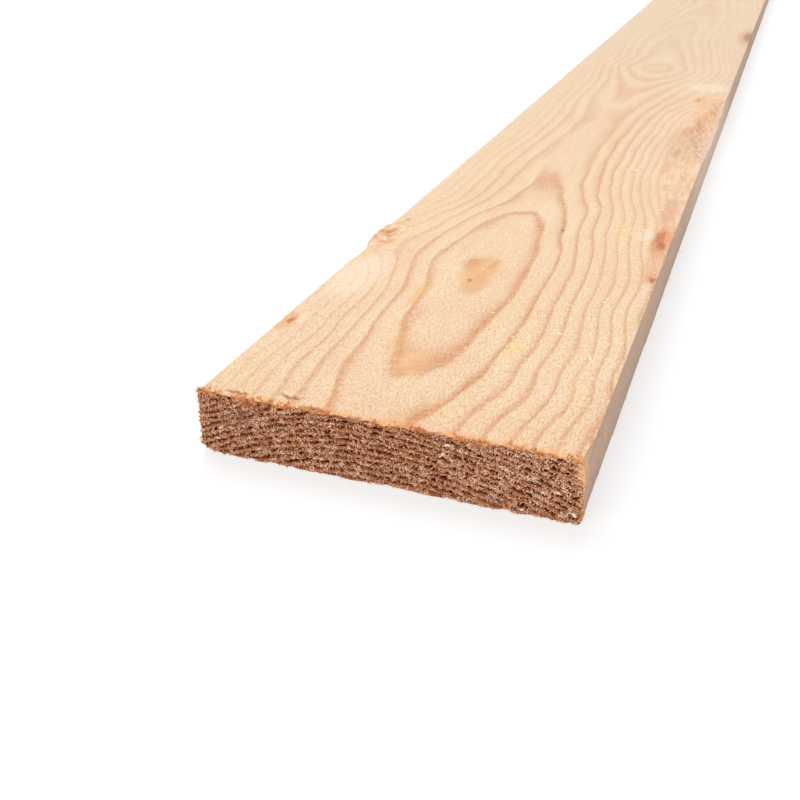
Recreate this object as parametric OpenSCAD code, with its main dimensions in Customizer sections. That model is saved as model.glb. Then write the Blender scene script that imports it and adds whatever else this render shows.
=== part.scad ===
// Rough-sawn softwood plank, one piece of stock lying flat on its wide face.
// The origin is the middle of the underside. +X runs across the width, +Y runs along the length
// away from the near end, and +Z runs up through the thickness. Millimetres.

/* [Board] */
// Length between the two cross-cut ends
board_length = 1800; // [1200:100:3600]
// Sawn width of the wide faces
board_width = 125; // [100:5:225]
// Sawn thickness
board_thickness = 22; // [18:1:38]
// Width of the small worn flat along each of the four long edges
arris = 0.5; // [0.2:0.1:1]

/* [Wane] */
// The rounded outside of the log that is left on the right top edge: its middle, from the near end
wane_from_near_end = 432; // [300:2:600]
// Length of the wane along the edge
wane_length = 190; // [120:5:240]
// How far the wane reaches in across the top face
wane_face_width = 14; // [8:1:20]
// How far the wane reaches down the side
wane_side_depth = 6; // [3:0.5:8]

/* [Chipped corners] */
// Near right top corner, where a splinter came away: its size across the face
splinter_width = 1.6; // [1:0.1:3]
// The same splinter, measured down the side
splinter_depth = 5; // [3:0.5:8]
// The same splinter, measured along the edge
splinter_length = 26; // [12:1:40]
// Near left bottom corner, knocked off square: its size across the underside
knock_width = 3.4; // [1:0.1:5]
// The same knock, measured up the side
knock_height = 2.4; // [1:0.1:4]
// The same knock, measured along the edge
knock_length = 7; // [3:1:15]

/* [Hidden] */

// Facets of a round face where it is drawn as a mesh
$fn = 180;

// Room by which a cutter stands clear of the faces that it cuts
clear = 1;

right_side = board_width / 2;
left_side = -board_width / 2;
near_end = -board_length / 2;

// In a cross-section the wane cuts the corner along a straight slope from the face to the side.
wane_slope_length = norm([wane_face_width, wane_side_depth]);
wane_slope_angle = atan(wane_side_depth / wane_face_width);
// Depth of that slope under the sharp corner, and the radius that brings it out at both ends of the wane
wane_sagitta = wane_face_width * wane_side_depth / wane_slope_length;
wane_radius = (pow(wane_length / 2, 2) + pow(wane_sagitta, 2)) / (2 * wane_sagitta);

// Outline of the sawn section, in X and Z: a rectangle with its four corners worn off.
function sawn_section() = let (x = board_width / 2, z = board_thickness) [
    [-x + arris, 0], [x - arris, 0], [x, arris], [x, z - arris],
    [x - arris, z], [-x + arris, z], [-x, z - arris], [-x, arris]
];

module sawn_board() {
    rotate([90, 0, 0])
        linear_extrude(height = board_length, center = true)
            polygon(sawn_section());
}

// The wane is the face of a large cylinder that lies across the corner and dips below it.
module wane_cut() {
    translate([right_side, near_end + wane_from_near_end, board_thickness])
        rotate([0, wane_slope_angle, 0])
            translate([0, 0, wane_radius - wane_sagitta])
                rotate([0, 90, 0])
                    cylinder(r = wane_radius, h = 2 * wane_slope_length + 2 * clear, center = true);
}

// Cuts a square corner along one plane. The corner is at the origin, with the solid on the positive
// side of each axis, and the plane crosses the three edges at these lengths.
module corner_cut(across, along, up) {
    grow = 1 + clear * (1 / across + 1 / along + 1 / up);
    translate([-clear, -clear, -clear])
        polyhedron(
            points = [[0, 0, 0], [across * grow, 0, 0], [0, along * grow, 0], [0, 0, up * grow]],
            faces = [[0, 1, 2], [0, 2, 3], [0, 3, 1], [1, 3, 2]]
        );
}

module splinter_cut() {
    translate([right_side, near_end, board_thickness])
        rotate([0, 180, 0])
            corner_cut(splinter_width, splinter_length, splinter_depth);
}

module knock_cut() {
    translate([left_side, near_end, 0])
        corner_cut(knock_width, knock_length, knock_height);
}

module plank() {
    color([0.93, 0.79, 0.63])
        difference() {
            sawn_board();
            wane_cut();
            splinter_cut();
            knock_cut();
        }
}

plank();
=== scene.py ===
# %% [markdown]
# # A rough-sawn softwood plank
# The plank is one length of pale softwood, sawn from the outside of a log with the bark side up. Its
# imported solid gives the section, the wane on one edge and the two chipped corners. This lesson dresses
# that solid: growth rings that run through the whole piece, torn end grain, knots, fibres and sawdust.

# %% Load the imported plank
import math
from collections import namedtuple

import bpy
import numpy as np
from mathutils import Matrix, Vector, noise
from mathutils.bvhtree import BVHTree


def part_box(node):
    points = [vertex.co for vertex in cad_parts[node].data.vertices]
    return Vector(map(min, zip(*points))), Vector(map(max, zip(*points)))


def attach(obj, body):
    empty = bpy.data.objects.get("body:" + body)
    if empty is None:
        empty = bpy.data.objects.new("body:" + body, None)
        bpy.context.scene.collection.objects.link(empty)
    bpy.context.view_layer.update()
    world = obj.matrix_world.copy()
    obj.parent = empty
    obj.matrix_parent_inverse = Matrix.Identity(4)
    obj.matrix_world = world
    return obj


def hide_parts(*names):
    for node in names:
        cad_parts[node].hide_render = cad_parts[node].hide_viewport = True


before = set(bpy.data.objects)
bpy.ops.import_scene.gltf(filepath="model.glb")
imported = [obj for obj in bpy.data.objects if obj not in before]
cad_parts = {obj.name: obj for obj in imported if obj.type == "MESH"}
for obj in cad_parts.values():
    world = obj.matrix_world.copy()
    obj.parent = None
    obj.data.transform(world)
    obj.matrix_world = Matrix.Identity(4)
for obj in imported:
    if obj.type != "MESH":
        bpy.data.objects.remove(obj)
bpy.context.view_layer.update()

MM = 0.001
LOW, HIGH = (np.array(corner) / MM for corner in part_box("plank"))
LEFT, NEAR, UNDER = LOW
RIGHT, FAR, TOP = HIGH
WIDTH, LENGTH, THICK = HIGH - LOW
print(f"plank solid: {WIDTH:.1f} x {LENGTH:.1f} x {THICK:.1f} mm")

# %% [markdown]
# ## The camera
# The photo was taken from close above the near end, with the plank running away to the upper right.
# Where the plank's straight edges fall in the picture fixes the lens and the place of the eye, so these
# values are typed in as they were read, and the view then needs no framing by hand.

# %% Place the camera
FRAME_PX = 800
FOCAL_PX = 1039.4
SENSOR = 36
TURN, TILT, ROLL = (math.radians(angle) for angle in (-19.48, 27.82, 0.55))
EYE_X, EYE_BEFORE_NEAR_END, EYE_Z = 96.5, 255.7, 174.4

ahead = Vector((math.sin(TURN) * math.cos(TILT), math.cos(TURN) * math.cos(TILT), -math.sin(TILT)))
level_right = Vector((math.cos(TURN), -math.sin(TURN), 0))
level_up = level_right.cross(ahead)
picture_right = math.cos(ROLL) * level_right + math.sin(ROLL) * level_up
picture_up = math.cos(ROLL) * level_up - math.sin(ROLL) * level_right

lens = bpy.data.cameras.new("photo_camera")
lens.sensor_width = SENSOR
lens.lens = SENSOR * FOCAL_PX / FRAME_PX
lens.clip_start = 0.01
camera = bpy.data.objects.new("photo_camera", lens)
bpy.context.collection.objects.link(camera)
turned = Matrix((picture_right, picture_up, -ahead)).transposed().to_4x4()
eye = Vector((EYE_X, NEAR - EYE_BEFORE_NEAR_END, EYE_Z)) * MM
camera.matrix_world = Matrix.Translation(eye) @ turned
bpy.context.scene.camera = camera
print(f"camera: {lens.lens:.1f} mm lens at {tuple(round(v, 3) for v in eye)} m")

# %% [markdown]
# ## Nodes and colours
# Every material and scatter below is a small node tree. One function adds a node: it sets the node's
# own settings, fills or links its inputs and hands back the output that is asked for. Inputs go by name,
# or by number where a node's names repeat. A Map Range takes its value as 0, the range that it has as 1
# and 2, and the range that it gets as 3 and 4. A colour Mix takes its share as 0 and its two colours as 6
# and 7. Colours are written as the sRGB hex values that a colour picker shows, and are turned to linear
# light once, here.

# %% Node and colour helpers
def colour(hex_code):
    """An sRGB hex value as the linear RGBA that Blender's sockets take."""
    channels = [int(hex_code[i:i + 2], 16) / 255 for i in (0, 2, 4)]
    return tuple(c / 12.92 if c <= 0.04045 else ((c + 0.055) / 1.055) ** 2.4 for c in channels) + (1.0,)


def grey(value):
    """A linear grey as RGBA."""
    return (value, value, value, 1.0)


def add(tree, kind, wires=None, out=0, stops=None, **settings):
    """Adds a node and returns one of its outputs.

    wires gives each input a value, another node's output or a list of outputs. stops gives a colour
    ramp its positions, each with a hex colour or a grey.
    """
    made = tree.nodes.new(kind)
    for name, value in settings.items():
        setattr(made, name, value)
    for key, value in (wires or {}).items():
        for source in value if isinstance(value, list) else [value]:
            if isinstance(source, bpy.types.NodeSocket):
                tree.links.new(source, made.inputs[key])
            else:
                made.inputs[key].default_value = source
    if stops:
        ramp = made.color_ramp.elements
        while len(ramp) < len(stops):
            ramp.new(1.0)
        for element, (position, shade) in zip(ramp, stops):
            element.position = position
            element.color = colour(shade) if isinstance(shade, str) else grey(shade)
    return made.outputs[out] if made.outputs else made


def new_material(name):
    """Makes a material of one Principled shader. Returns the material, its tree and the shader."""
    made = bpy.data.materials.new(name)
    made.use_nodes = True
    made.node_tree.nodes.clear()
    surface = add(made.node_tree, "ShaderNodeBsdfPrincipled")
    add(made.node_tree, "ShaderNodeOutputMaterial", {"Surface": surface})
    return made, made.node_tree, surface.node


print("a hex grey of 80 is", round(colour("808080")[0], 3), "in linear light")

# %% [markdown]
# ## Stage and light
# The photo's background is plain white and its light is daylight from above, behind and to the left, so
# the top face is bright while the near end and the right side lie in shade. Lamps close by would fade along
# the length, so two wide, soft suns are used: one from behind, and a low one from the front that fills the
# torn end. The floor adds light of its own where the camera sees it, which keeps the white white and leaves
# only a faint shadow, as a cut-out product picture has.

# %% Lay the floor
FLOOR_SIZE = 12.0
# How white the floor is to the plank, how white it is to the camera, and the light that it adds there
FLOOR_WHITE, FLOOR_SEEN, FLOOR_LIFT = 0.82, 0.36, 0.66

scene = bpy.context.scene
scene.view_settings.view_transform = "Standard"


def seen(tree):
    """1 for a ray that shows the background itself, and 0 for one that brings its light to the plank."""
    path = add(tree, "ShaderNodeLightPath").node
    shown = path.outputs["Is Camera Ray"]
    for way in ("Is Glossy Ray", "Is Transmission Ray"):
        shown = add(tree, "ShaderNodeMath", {0: shown, 1: path.outputs[way]}, operation="MAXIMUM")
    return shown


bpy.ops.mesh.primitive_plane_add(size=FLOOR_SIZE, location=(0, 0, 0))
floor = bpy.context.object
floor.name = "floor"
# Matt white paper, with no gloss to mirror the plank
paper, tree, surface = new_material("white_paper_floor")
surface.inputs["Roughness"].default_value = 0.9
surface.inputs["Emission Color"].default_value = grey(1.0)
shown = seen(tree)
tone = add(tree, "ShaderNodeMapRange", {0: shown, 3: FLOOR_WHITE, 4: FLOOR_SEEN})
lift = add(tree, "ShaderNodeMapRange", {0: shown, 3: 0.0, 4: FLOOR_LIFT})
tree.links.new(tone, surface.inputs["Base Color"])
tree.links.new(lift, surface.inputs["Emission Strength"])
floor.data.materials.append(paper)
print(f"floor: {FLOOR_SIZE:.0f} m square")

# %% Light the room
SKY = 0.44
Sun = namedtuple("Sun", "power height from_side softness")
SUNS = {
    "soft_sun": Sun(0.51, math.radians(55), math.radians(125), math.radians(40)),
    "front_fill": Sun(0.6, math.radians(20), math.radians(-105), math.radians(60)),
}

world = bpy.data.worlds.new("white_studio")
world.use_nodes = True
scene.world = world
tree = world.node_tree
tree.nodes.clear()
strength = add(tree, "ShaderNodeMapRange", {0: seen(tree), 3: SKY, 4: 1.0})
sky = add(tree, "ShaderNodeBackground", {"Color": grey(1.0), "Strength": strength})
add(tree, "ShaderNodeOutputWorld", {"Surface": sky})

for name, sun in SUNS.items():
    lamp = bpy.data.lights.new(name, "SUN")
    lamp.angle = sun.softness
    lamp.energy = sun.power * math.pi
    holder = bpy.data.objects.new(name, lamp)
    holder.rotation_euler = (math.pi / 2 - sun.height, 0, math.pi / 2 + sun.from_side)
    bpy.context.collection.objects.link(holder)
    print(f"{name}: energy {lamp.energy:.2f}")

# %% [markdown]
# ## How the tree grew
# All the figure on a board is one thing seen on different cuts: layers of growth, one a year. It could be
# drawn on each face by itself, but then the lines would not meet at the edges. So the layers are worked
# out once, as a number at every point of the wood that goes up by one from each ring to the next. The
# layers arch over the pith, which lies below the board, and swell around each knot. Where the top face cuts
# a swelling, the rings show as closed eyes. The line of the arch's crest was read from the photo at a few
# places: distance from the near end, place across, ring number, and how many square millimetres of the
# arch's parabola make one ring. Past what the photo shows, the crest goes on in the same manner.

# %% Crest and knots
CREST = np.array([
    # along, across, ring, parabola
    (-40, -6, 1.10, 560), (0, -6, 0.62, 540), (10, -6, 0.48, 530), (32, -5.4, -0.03, 512),
    (55, -5.2, -0.30, 455), (75, -5.2, -0.53, 455), (90, -5.6, -0.64, 430), (110, -7.0, -0.78, 395),
    (128, -8.2, -0.88, 410), (155, -8.8, -0.88, 395), (185, -9.0, -0.56, 355), (202, -8.8, -0.32, 335),
    (219, -7.4, 0.0, 325), (240, -6.9, 0.40, 310), (254, -8.6, 0.64, 303), (268, -9.8, 0.84, 298),
    (286, -11.3, 0.92, 291), (304, -12.2, 1.0, 286), (335, -12, 1.14, 280), (400, -10, 1.42, 290),
    (495, -8, 1.0, 340), (569, -2, 0.0, 340), (606, 1, -1.0, 345), (630, 1, -1.40, 345),
    (652, 1, -1.0, 350), (715, -3, -0.5, 360), (787, -8, 0.0, 380), (880, -2, 0.7, 420),
    (980, 5, 1.4, 450), (1120, 3, 2.0, 430), (1290, -2, 0.8, 420), (1420, -8, -0.4, 420),
    (1560, -6, 1.0, 400), (1700, -3, 2.2, 420), (1840, -3, 2.9, 430),
])
# The parabola opens out towards the edges by this many square millimetres for each millimetre
PARABOLA_GAIN = 2.0
# Left of the crest the rings of the near end lie closer together by this share, up to the torn knot
LEFT_CROWDING, CROWDED_TO, EVEN_FROM = 0.35, 105, 155
# Ring width under the top face and at the underside
RING_TOP, RING_UNDER = 1.9, 2.4
# The rings waver by these shares of a ring, in waves of these sizes across, along and up
LONG_WAVER, LONG_WAVES = 0.07, (30, 110, 30)
SHORT_WAVER, SHORT_WAVES = 0.035, (9, 26, 9)

Knot = namedtuple("Knot", "across along half_width half_length swell reach_across reach_along")
KNOTS = {
    "left_torn": Knot(-60, 165, 8.0, 17, 1.5, 11, 34),
    "left_small": Knot(-59.5, 63, 2.4, 5.5, 0.7, 7, 12),
    "right_red": Knot(58.5, 202, 4.0, 17, 0.4, 12, 34),
    "right_small": Knot(60.5, 152, 1.8, 5.0, 0.3, 6, 12),
    "whorl_edge": Knot(60, 522, 9.0, 20, 3.2, 24, 42),
    "far_edge": Knot(56, 838, 6.0, 30, 2.2, 16, 36),
    "left_far": Knot(-52, 1236, 8.0, 13, 2.4, 18, 34),
    "right_far": Knot(34, 1465, 7.0, 11, 2.2, 18, 36),
    # Buried ones, which only push the layers: they round off the first eye
    "eye_end": Knot(-9, 203, 0, 0, 0.26, 15, 15),
    "eye_neck": Knot(-6, 232, 0, 0, -0.14, 15, 13),
}
print(f"{len(KNOTS)} knots, crest read at {len(CREST)} places")

# %% Number the rings
# Blender's noise is stretched to fill about -1 to 1, and each seed reads it this much further away
NOISE_GAIN, SEED_STEP = 1.6, 17.3


def smooth_line(at, stations, values):
    """A curve through given values that also runs smoothly through each of them."""
    slopes = np.gradient(values, stations)
    i = np.clip(np.searchsorted(stations, at) - 1, 0, len(stations) - 2)
    step = stations[i + 1] - stations[i]
    t = np.clip((at - stations[i]) / step, 0, 1)
    start = values[i] + slopes[i] * step * t
    stop = values[i + 1] - slopes[i + 1] * step * (1 - t)
    ease = t * t * (3 - 2 * t)
    return start * (1 - ease) + stop * ease


def ramp_up(value, low, high):
    """0 below low, 1 above high and a smooth rise between."""
    t = np.clip((value - low) / (high - low), 0, 1)
    return t * t * (3 - 2 * t)


def roughness(points, size, seed):
    """Noise from about -1 to 1 at each point, with bumps of this size in mm: a number or (x, y, z)."""
    scaled = points / np.array(size) + seed * SEED_STEP
    return np.array([noise.noise(Vector(p)) for p in scaled]) * NOISE_GAIN


def growth_ring(points):
    """The ring number at each point of the wood, in mm."""
    x, along, depth = points[:, 0], points[:, 1] - NEAR, np.clip(TOP - points[:, 2], 0, THICK)
    across, ring, parabola = (smooth_line(along, CREST[:, 0], column) for column in CREST[:, 1:].T)
    side = np.abs(x - across)
    crowding = 1 + LEFT_CROWDING * (x < across) * (1 - ramp_up(along, CROWDED_TO, EVEN_FROM))
    ring = ring + crowding * side ** 2 / (parabola + PARABOLA_GAIN * side)
    for knot in KNOTS.values():
        away = ((x - knot.across) / knot.reach_across) ** 2 + ((along - knot.along) / knot.reach_along) ** 2
        ring = ring - knot.swell * np.exp(-away)
    widening = (RING_UNDER - RING_TOP) / (RING_TOP * THICK)
    ring = ring - np.log1p(widening * depth) / (widening * RING_TOP)
    ring = ring + LONG_WAVER * roughness(points, LONG_WAVES, 1)
    return ring + SHORT_WAVER * roughness(points, SHORT_WAVES, 2)


middle_of_end = np.array([[0, NEAR, TOP], [0, NEAR, UNDER]])
print("rings at the middle of the near end, top and bottom:", growth_ring(middle_of_end).round(1))

# %% [markdown]
# ## The skin of the board
# The rendered board is one closed skin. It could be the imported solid, cut up evenly by a modifier, but
# then most of the cells would lie where nothing happens. So it is woven as rings of points round the
# section, one ring after another along the length, with a square grid over each end. Each point is shot
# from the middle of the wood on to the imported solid, so the skin follows the wane and the chips. The rings
# are fine at the torn ends and the torn knot and coarse along the plain middle. Where the fineness halves,
# one coarse cell meets two fine ones. The skin is also unrolled on to a flat sheet, as a map for baking.

# %% Weave the rings
CELLS_ACROSS, CELLS_UP = 256, 48
CELLS_ROUND = 2 * (CELLS_ACROSS + CELLS_UP)
FAR_END = round(LENGTH)
# From and to, in mm from the near end, then the step and how often the fineness is halved. The last zone
# runs on past the far end by less than a step, so that its last ring lies on that end.
ZONES = [
    (0, 4, 0.5, 0), (4, 8, 1, 0), (8, 12, 2, 1), (12, 56, 4, 2), (56, 72, 2, 1), (72, 136, 4, 2),
    (136, 192, 1, 1), (192, 220, 2, 1), (220, 560, 4, 2), (560, FAR_END - 80, 10, 3),
    (FAR_END - 80, FAR_END - 36, 4, 2), (FAR_END - 36, FAR_END - 8, 3, 1), (FAR_END - 8, FAR_END - 4, 1, 0),
    (FAR_END - 4, FAR_END + 0.2, 0.5, 0),
]
# The rays for the rings at the very ends are shot this far inside them
INSIDE = 0.02
stations = [(start + step * k, level) for start, stop, step, level in ZONES
            for k in range(math.ceil((stop - start) / step))]

plank_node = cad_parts["plank"]
corners = [tuple(v.co) for v in plank_node.data.vertices]
solid = BVHTree.FromPolygons(corners, [tuple(p.vertices) for p in plank_node.data.polygons])


def section_walk(level):
    """Shares of the width and the thickness along a walk round the section: under, right, top, left."""
    across, up = CELLS_ACROSS >> level, CELLS_UP >> level
    u, v = np.arange(across) / across, np.arange(up) / up
    share_x = np.concatenate([u, np.ones(up), 1 - u, np.zeros(up)])
    share_z = np.concatenate([np.zeros(across), v, np.ones(across), 1 - v])
    return share_x, share_z


def skin_ring(along, level):
    """The ring of skin points at one place along the length."""
    y = NEAR + along
    y_inside = min(max(y, NEAR + INSIDE), FAR - INSIDE)
    ring = []
    for share_x, share_z in zip(*section_walk(level)):
        aim = Vector((LEFT + share_x * WIDTH, y_inside, UNDER + share_z * THICK))
        core_x = min(max(aim.x, LEFT + THICK / 2), RIGHT - THICK / 2)
        core = Vector((core_x, y_inside, UNDER + THICK / 2))
        hit = solid.ray_cast(core * MM, (aim - core).normalized())[0]
        ring.append((hit.x / MM, y, hit.z / MM))
    return ring


points, ring_start = [], []
for along, level in stations:
    ring_start.append(len(points))
    points += skin_ring(along, level)
print(f"{len(stations)} rings of {len(points)} points")

# %% Join the rings and unroll them
SAWN_FACE, TORN_END = 0, 1
# The sides are unrolled on to a square sheet as two columns, cut at this ring, with an end above each
SHEET_CUT = 910
SHEET_MARGIN, COLUMN_WIDTH, COLUMN_HEIGHT = 0.005, 0.49, 0.89
END_FOOT, END_HEIGHT = 0.905, 0.09
# The underside is the first part of the walk round the section, and gets less of a column than its share
WALK_UNDER, COLUMN_UNDER = CELLS_ACROSS / CELLS_ROUND, 0.3


def on_sheet(column, walked, along):
    """Place on the sheet of a point so far round the section and along the length."""
    across_column = np.interp(walked, (0, WALK_UNDER, 1), (0, COLUMN_UNDER, 1))
    up_column = (along - column * SHEET_CUT) / SHEET_CUT
    from_left = SHEET_MARGIN + 0.5 * column + COLUMN_WIDTH * across_column
    return from_left, SHEET_MARGIN + COLUMN_HEIGHT * up_column


def cell_side(k, c, cells):
    """One cell's edge on ring k, as point numbers with how far round and along each of them is."""
    along, level = stations[k]
    count = CELLS_ROUND >> level
    each = count // cells
    steps = range(c * each, (c + 1) * each + 1)
    return [(ring_start[k] + step % count, step / count, along) for step in steps]


faces, kinds, sheet = [], [], []
for k in range(len(stations) - 1):
    cells = CELLS_ROUND >> max(stations[k][1], stations[k + 1][1])
    column = int(stations[k][0] >= SHEET_CUT)
    for c in range(cells):
        near_side, far_side = cell_side(k, c, cells), cell_side(k + 1, c, cells)
        cell = [near_side[0]] + far_side + near_side[:0:-1]
        faces.append([number for number, walked, along in cell])
        sheet += [on_sheet(column, walked, along) for number, walked, along in cell]
        kinds.append(SAWN_FACE)
print(f"{len(faces)} cells along the sides")


# %% Close the ends
def end_grid(ring):
    """Points inside an end, spread evenly between the four sides of its ring."""
    ring = np.array(ring)
    a, b = CELLS_ACROSS, CELLS_UP
    low, right = ring[:a + 1], ring[a:a + b + 1]
    high, left = ring[a + b:2 * a + b + 1][::-1], np.vstack([ring[2 * a + b:], ring[:1]])[::-1]
    u = np.linspace(0, 1, a + 1)[1:-1, None, None]
    v = np.linspace(0, 1, b + 1)[None, 1:-1, None]
    sides = ((1 - v) * low[1:-1, None] + v * high[1:-1, None]
             + (1 - u) * left[None, 1:-1] + u * right[None, 1:-1])
    bends = (1 - u) * ((1 - v) * low[0] + v * high[0]) + u * ((1 - v) * low[-1] + v * high[-1])
    return (sides - bends).reshape(-1, 3)


def end_cap(first, faces_far):
    """Fills one end with a square grid that shares the ring's own points. Returns all its point numbers."""
    a, b = CELLS_ACROSS, CELLS_UP
    inner = len(points)
    points.extend(end_grid(points[first:first + CELLS_ROUND]))
    number = np.empty((a + 1, b + 1), int)
    number[1:-1, 1:-1] = inner + np.arange((a - 1) * (b - 1)).reshape(a - 1, b - 1)
    number[:, 0] = first + np.arange(a + 1)
    number[-1, :] = first + a + np.arange(b + 1)
    number[::-1, -1] = first + a + b + np.arange(a + 1)
    number[0, ::-1] = first + (2 * a + b + np.arange(b + 1)) % CELLS_ROUND
    for i in range(a):
        for j in range(b):
            walk = [(i, j), (i + 1, j), (i + 1, j + 1), (i, j + 1)]
            if faces_far:
                walk.reverse()
            faces.append([int(number[m, n]) for m, n in walk])
            for m, n in walk:
                from_left = SHEET_MARGIN + COLUMN_WIDTH * (m / a) + 0.5 * faces_far
                sheet.append((from_left, END_FOOT + END_HEIGHT * (n / b)))
            kinds.append(TORN_END)
    return number


near_cap = end_cap(ring_start[0], False)
far_cap = end_cap(ring_start[-1], True)
sawn = np.array(points, float)
triangles = sum(len(f) - 2 for f in faces)

board_mesh = bpy.data.meshes.new("sawn_board")
board_mesh.from_pydata([tuple(p) for p in sawn * MM], [], faces)
board_mesh.polygons.foreach_set("material_index", np.array(kinds, np.int32))
board_mesh.uv_layers.new(name="OFBake").data.foreach_set("uv", np.array(sheet, np.float32).ravel())
board = bpy.data.objects.new("sawn_board", board_mesh)
bpy.context.collection.objects.link(board)
print(f"board skin: {len(sawn)} points, {triangles} triangles")

# %% [markdown]
# ## Relief of the ends
# Rough sawing leaves no flat surface, and the ends are torn most: the saw pulls the soft early wood into
# tufts and leaves the late wood as narrow, broken grooves. A picture of heights could push the skin about,
# but heights that are worked out point by point can follow the rings. Each height is in millimetres and
# pushes the skin out or in along its normal. It is calmer close to the sides and the underside, so that
# the outline of the end stays clean.

# %% Tear the ends
Bumps = namedtuple("Bumps", "height size seed")
FACE_BUMPS = [Bumps(0.10, (40, 120, 40), 3), Bumps(0.06, (3, 12, 3), 4)]
TUFTS = [Bumps(0.45, (1.8, 1.8, 1.1), 5), Bumps(0.2, 0.65, 6), Bumps(0.22, 5, 7)]
# On the ends the saw has pulled the rings out of line by up to this share of a ring
END_WAVER = 0.08
# Depth of a groove, how far it varies, and the least and the most that it can be
GROOVE_DEPTH, GROOVE_VARIES, GROOVE_LEAST, GROOVE_MOST = 1.5, 0.6, 0.8, 2.0
# Shares of a year at which the late wood begins, is full, starts to end and is over
LATE_BEGINS, LATE_FULL, LATE_ENDING, LATE_OVER = 0.46, 0.62, 0.90, 1.0
# Width of the calm rim, and the share of the relief that is left at its edge
CALM_RIM, CALM_SHARE = 1.6, 0.3


def bumpy(kinds):
    """Height at each point of the skin of several kinds of bumps together."""
    return sum(kind.height * roughness(sawn, kind.size, kind.seed) for kind in kinds)


across, up = sawn[:, 0], sawn[:, 2]
from_near, from_far = sawn[:, 1] - NEAR, FAR - sawn[:, 1]
on_near = np.zeros(len(sawn), bool)
on_near[near_cap.ravel()] = True
on_far = np.zeros(len(sawn), bool)
on_far[far_cap.ravel()] = True
on_end = on_near | on_far

ring_number = growth_ring(sawn) + on_end * END_WAVER * roughness(sawn, (7, 7, 2.5), 18)
phase = ring_number % 1.0
late_wood = ramp_up(phase, LATE_BEGINS, LATE_FULL) * (1 - ramp_up(phase, LATE_ENDING, LATE_OVER))
# The grooves break off here and there
late_wood *= ramp_up(roughness(sawn, (5, 5, 1.8), 20), -0.55, 0.0)
normals = np.empty(len(sawn) * 3, np.float32)
board_mesh.vertex_normals.foreach_get("vector", normals)
normals = normals.reshape(-1, 3)

grooves = np.clip(GROOVE_DEPTH + GROOVE_VARIES * roughness(sawn, (9, 9, 4), 17), GROOVE_LEAST, GROOVE_MOST)
inside_rim = np.minimum(RIGHT - np.abs(across), up - UNDER)
calm = CALM_SHARE + (1 - CALM_SHARE) * ramp_up(inside_rim, 0.0, CALM_RIM)
relief = np.where(on_end, calm * (bumpy(TUFTS) - grooves * late_wood), bumpy(FACE_BUMPS))
print(f"relief of the ends: {relief[on_end].min():.2f} to {relief[on_end].max():.2f} mm")

# %% [markdown]
# ## Torn knot, wane and other knots
# The knot in the left edge was torn as the saw passed. It bulges out of the side, with a dip just before it,
# and on the top face it is only crumbled. The wane keeps the lumpy surface that lay under the bark. The
# other knots in the edges are left a little rough and sunken. A soft mask round each place says how much of
# its relief a point gets.

# %% Tear the knot and roughen the wane
CRUMBS = [Bumps(0.8, 6, 8), Bumps(0.6, 2.8, 9)]
# How far in from the left edge the torn knot reaches, how far in it is full, and how ragged that edge is
TORN_REACH, TORN_FULL, TORN_RAGGED = 11, 5, 2.5
# Heights at which it begins and is full
TORN_FOOT, TORN_TOP = 2, 14
# How far the torn knot stands out of the side and of the face, each with its share of the crumbs
SIDE_BULGE, SIDE_CRUMBS, FACE_BULGE, FACE_CRUMBS = 1.9, 0.8, 0.1, 0.3
# The dip: how far before the knot it lies, half its length and its height, and how deep it goes
DIP_BEFORE, DIP_LENGTH, DIP_HEIGHT, DIP_DEPTH = 23, 8, 12, 1.8
# Millimetres from the near end at which the wane begins, is full, starts to end and is over
WANE_BEGINS, WANE_FULL, WANE_ENDING, WANE_OVER = 325, 345, 520, 540
WANE_LUMPS = 0.2
SUNKEN_KNOTS = ("right_red", "right_small", "left_small", "far_edge")
KNOT_ROUGH, KNOT_SUNK = 0.5, 0.25


def patch(x, y, centre_x, centre_y, half_x, half_y):
    """A soft oval: 1 in its middle and falling away past its half sizes."""
    return np.exp(-((x - centre_x) / half_x) ** 2 - ((y - centre_y) / half_y) ** 2)


torn = KNOTS["left_torn"]
torn_mask = np.exp(-((from_near - torn.along) / torn.half_length) ** 4) * ramp_up(up, TORN_FOOT, TORN_TOP)
torn_mask *= ramp_up(-across + TORN_RAGGED * roughness(sawn, 6, 15), -LEFT - TORN_REACH, -LEFT - TORN_FULL)
crumbs = bumpy(CRUMBS)
facing_left = np.clip(-normals[:, 0], 0, 1)
out_of_side = facing_left * (SIDE_BULGE + SIDE_CRUMBS * crumbs)
out_of_face = (1 - facing_left) * (FACE_BULGE + FACE_CRUMBS * crumbs)
relief += torn_mask * (out_of_side + out_of_face)
dip = patch(from_near, up, torn.along - DIP_BEFORE, TOP, DIP_LENGTH, DIP_HEIGHT)
relief -= DIP_DEPTH * dip * facing_left

# The wane is the skin below the top face, close to the right edge and not far down the side
wane_mask = ramp_up(TOP - up, 0.05, 0.8) * ramp_up(across, RIGHT - 20, RIGHT - 12)
along_wane = ramp_up(from_near, WANE_BEGINS, WANE_FULL) * (1 - ramp_up(from_near, WANE_ENDING, WANE_OVER))
wane_mask *= along_wane * ramp_up(up, TOP - 10, TOP - 5)
relief += wane_mask * WANE_LUMPS * roughness(sawn, (9, 36, 9), 10)

for name in SUNKEN_KNOTS:
    knot = KNOTS[name]
    spread = patch(across, from_near, knot.across, knot.along, knot.half_width, knot.half_length)
    relief += spread * (KNOT_ROUGH * roughness(sawn, 2.5, 12) - KNOT_SUNK)
skin = sawn + normals * relief[:, None]
print(f"relief of the whole skin: {relief.min():.2f} to {relief.max():.2f} mm")

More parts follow.
